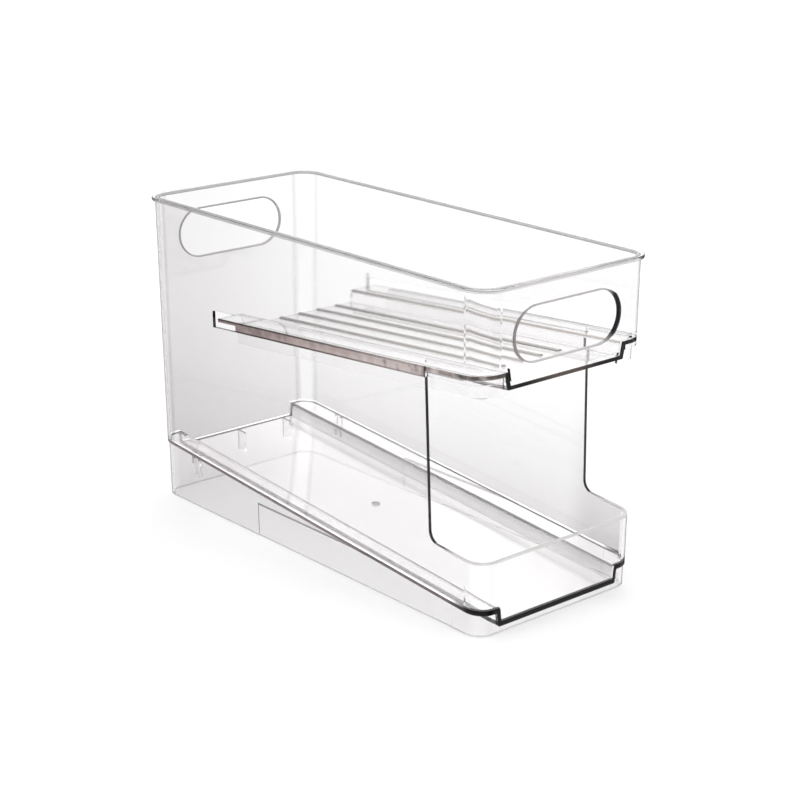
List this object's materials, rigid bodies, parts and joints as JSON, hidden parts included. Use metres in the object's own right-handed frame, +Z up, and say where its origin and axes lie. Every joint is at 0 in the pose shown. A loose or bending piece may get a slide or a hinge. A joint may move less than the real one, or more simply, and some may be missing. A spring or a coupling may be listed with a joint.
{
  "type": "fridge can organizer",
  "caption": "Clear open-topped can dispenser with a pull-out sloping upper tray, a rear drop and a sloping base that feeds cans to a low front lip.",
  "frame": {"origin": "on the shelf under the middle of the organizer", "axes": "+Z up, -Y to the front lip, +X to the right seen from the front"},
  "size_m": [0.147, 0.35, 0.221],
  "materials": {
    "clear_plastic": "clear, polished"
  },
  "bodies": {
    "shell": {"body": "clear_plastic", "base": "clear_plastic"},
    "tray": {"upper_tray": "clear_plastic"}
  },
  "joints": [
    {"name": "tray_slide", "type": "slide", "parent": "shell", "child": "tray", "axis": [0, -0.9971, 0.0758], "range_m": [0, 0.19]}
  ]
}
